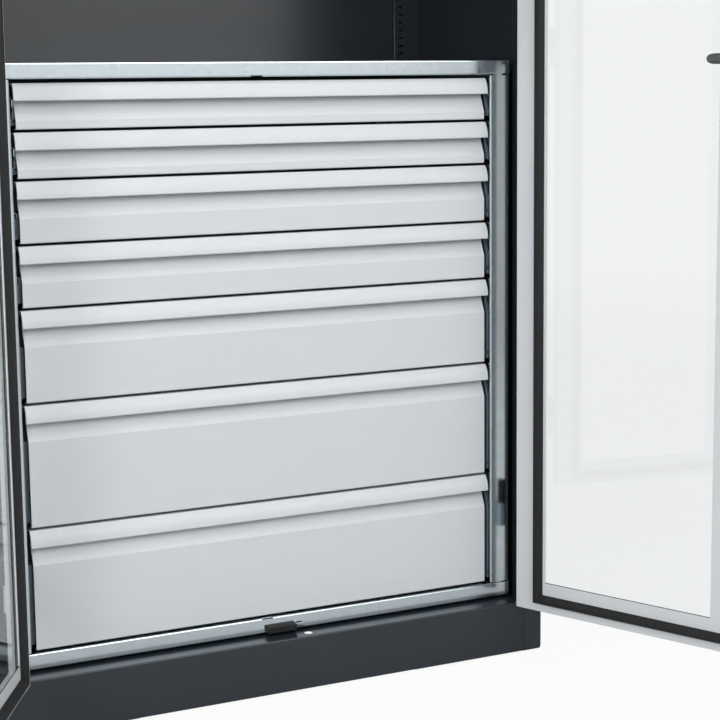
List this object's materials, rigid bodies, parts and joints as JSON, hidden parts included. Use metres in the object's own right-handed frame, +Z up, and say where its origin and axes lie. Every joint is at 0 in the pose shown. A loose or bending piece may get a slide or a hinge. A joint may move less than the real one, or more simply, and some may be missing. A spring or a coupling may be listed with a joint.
{
  "type": "tool cabinet",
  "caption": "Upright sheet-steel tool cabinet with hinged window doors, a block of full-extension drawers below and adjustable shelves above.",
  "frame": {"origin": "middle of the body's footprint, on the floor", "axes": "+Z up, -Y out of the open front, +X to the right as seen from the front"},
  "size_m": [1.3341, 0.9455, 1.95],
  "materials": {
    "anthracite_paint": "fine-textured powder coat",
    "light_grey_paint": "satin powder coat",
    "galvanised_sheet": "galvanised, satin",
    "zinc_plate": "zinc plated",
    "turned_steel": "turned steel, oiled",
    "black_rubber": "matt",
    "black_plastic": "fine-grained moulding",
    "clear_pane": "clear acrylic sheet"
  },
  "bodies": {
    "cabinet": {"side_panel_left": "anthracite_paint", "side_panel_right": "anthracite_paint", "base_pan": "anthracite_paint", "top_panel": "anthracite_paint", "back_panel": "anthracite_paint", "lower_shelf": "anthracite_paint", "upper_shelf": "anthracite_paint", "shelf_clips": "zinc_plate", "levelling_feet": "black_plastic", "door_buffer": "black_rubber", "housing_cover": "galvanised_sheet", "bottom_rail": "galvanised_sheet", "housing_side_right": "galvanised_sheet", "housing_side_left": "galvanised_sheet", "housing_rear_tie": "galvanised_sheet", "cabinet_slides": "zinc_plate", "frame_knuckles": "anthracite_paint", "hinge_pins": "turned_steel"},
    "door_left": {"door_left_panel": "light_grey_paint", "door_left_pane": "clear_pane", "door_left_seal": "black_rubber", "door_left_knuckles": "light_grey_paint"},
    "door_right": {"door_right_panel": "light_grey_paint", "door_right_pane": "clear_pane", "door_right_seal": "black_rubber", "door_right_knuckles": "light_grey_paint", "lock_case": "zinc_plate", "handle_plate": "black_plastic"},
    "lock_turn": {"lock_handle": "black_plastic", "lock_pinion": "turned_steel"},
    "rod_lower": {"lower_lock_rod": "zinc_plate"},
    "rod_upper": {"upper_lock_rod": "zinc_plate"},
    "drawer_1": {"drawer_1_front": "light_grey_paint", "drawer_1_tray": "light_grey_paint", "drawer_1_slides": "zinc_plate"},
    "slide_1": {"drawer_1_middle_slides": "zinc_plate"},
    "drawer_2": {"drawer_2_front": "light_grey_paint", "drawer_2_tray": "light_grey_paint", "drawer_2_slides": "zinc_plate"},
    "slide_2": {"drawer_2_middle_slides": "zinc_plate"},
    "drawer_3": {"drawer_3_front": "light_grey_paint", "drawer_3_tray": "light_grey_paint", "drawer_3_slides": "zinc_plate"},
    "slide_3": {"drawer_3_middle_slides": "zinc_plate"},
    "drawer_4": {"drawer_4_front": "light_grey_paint", "drawer_4_tray": "light_grey_paint", "drawer_4_slides": "zinc_plate"},
    "slide_4": {"drawer_4_middle_slides": "zinc_plate"},
    "drawer_5": {"drawer_5_front": "light_grey_paint", "drawer_5_tray": "light_grey_paint", "drawer_5_slides": "zinc_plate"},
    "slide_5": {"drawer_5_middle_slides": "zinc_plate"},
    "drawer_6": {"drawer_6_front": "light_grey_paint", "drawer_6_tray": "light_grey_paint", "drawer_6_slides": "zinc_plate"},
    "slide_6": {"drawer_6_middle_slides": "zinc_plate"},
    "drawer_7": {"drawer_7_front": "light_grey_paint", "drawer_7_tray": "light_grey_paint", "drawer_7_slides": "zinc_plate"},
    "slide_7": {"drawer_7_middle_slides": "zinc_plate"}
  },
  "joints": [
    {"name": "door_left_hinge", "type": "hinge", "parent": "cabinet", "child": "door_left", "pos_m": [-0.462, -0.259, 0], "axis": [0, 0, -1], "range_deg": [-117, 63]},
    {"name": "door_right_hinge", "type": "hinge", "parent": "cabinet", "child": "door_right", "pos_m": [0.462, -0.259, 0], "axis": [0, 0, 1], "range_deg": [-117, 63]},
    {"name": "lock_handle_turn", "type": "hinge", "parent": "door_right", "child": "lock_turn", "pos_m": [0.63067, -0.65017, 1.05], "axis": [-0.891, -0.454, 0], "range_deg": [0, 90]},
    {"name": "lower_rod_slide", "type": "slide", "parent": "door_right", "child": "rod_lower", "axis": [0, 0, -1], "range_m": [0, 0.02]},
    {"name": "upper_rod_slide", "type": "slide", "parent": "door_right", "child": "rod_upper", "axis": [0, 0, 1], "range_m": [0, 0.02]},
    {"name": "drawer_1_slide", "type": "slide", "parent": "cabinet", "child": "drawer_1", "axis": [0, -1, 0], "range_m": [0, 0.4]},
    {"name": "middle_1_slide", "type": "slide", "parent": "cabinet", "child": "slide_1", "axis": [0, -1, 0], "range_m": [0, 0.2]},
    {"name": "drawer_2_slide", "type": "slide", "parent": "cabinet", "child": "drawer_2", "axis": [0, -1, 0], "range_m": [0, 0.4]},
    {"name": "middle_2_slide", "type": "slide", "parent": "cabinet", "child": "slide_2", "axis": [0, -1, 0], "range_m": [0, 0.2]},
    {"name": "drawer_3_slide", "type": "slide", "parent": "cabinet", "child": "drawer_3", "axis": [0, -1, 0], "range_m": [0, 0.4]},
    {"name": "middle_3_slide", "type": "slide", "parent": "cabinet", "child": "slide_3", "axis": [0, -1, 0], "range_m": [0, 0.2]},
    {"name": "drawer_4_slide", "type": "slide", "parent": "cabinet", "child": "drawer_4", "axis": [0, -1, 0], "range_m": [0, 0.4]},
    {"name": "middle_4_slide", "type": "slide", "parent": "cabinet", "child": "slide_4", "axis": [0, -1, 0], "range_m": [0, 0.2]},
    {"name": "drawer_5_slide", "type": "slide", "parent": "cabinet", "child": "drawer_5", "axis": [0, -1, 0], "range_m": [0, 0.4]},
    {"name": "middle_5_slide", "type": "slide", "parent": "cabinet", "child": "slide_5", "axis": [0, -1, 0], "range_m": [0, 0.2]},
    {"name": "drawer_6_slide", "type": "slide", "parent": "cabinet", "child": "drawer_6", "axis": [0, -1, 0], "range_m": [0, 0.4]},
    {"name": "middle_6_slide", "type": "slide", "parent": "cabinet", "child": "slide_6", "axis": [0, -1, 0], "range_m": [0, 0.2]},
    {"name": "drawer_7_slide", "type": "slide", "parent": "cabinet", "child": "drawer_7", "axis": [0, -1, 0], "range_m": [0, 0.4]},
    {"name": "middle_7_slide", "type": "slide", "parent": "cabinet", "child": "slide_7", "axis": [0, -1, 0], "range_m": [0, 0.2]}
  ],
  "couplings": [
    {"joint": "lower_rod_slide", "follows": "lock_handle_turn", "m_per_rad": 0.012732},
    {"joint": "upper_rod_slide", "follows": "lock_handle_turn", "m_per_rad": 0.012732},
    {"joint": "middle_1_slide", "follows": "drawer_1_slide", "ratio": 0.5},
    {"joint": "middle_2_slide", "follows": "drawer_2_slide", "ratio": 0.5},
    {"joint": "middle_3_slide", "follows": "drawer_3_slide", "ratio": 0.5},
    {"joint": "middle_4_slide", "follows": "drawer_4_slide", "ratio": 0.5},
    {"joint": "middle_5_slide", "follows": "drawer_5_slide", "ratio": 0.5},
    {"joint": "middle_6_slide", "follows": "drawer_6_slide", "ratio": 0.5},
    {"joint": "middle_7_slide", "follows": "drawer_7_slide", "ratio": 0.5}
  ]
}
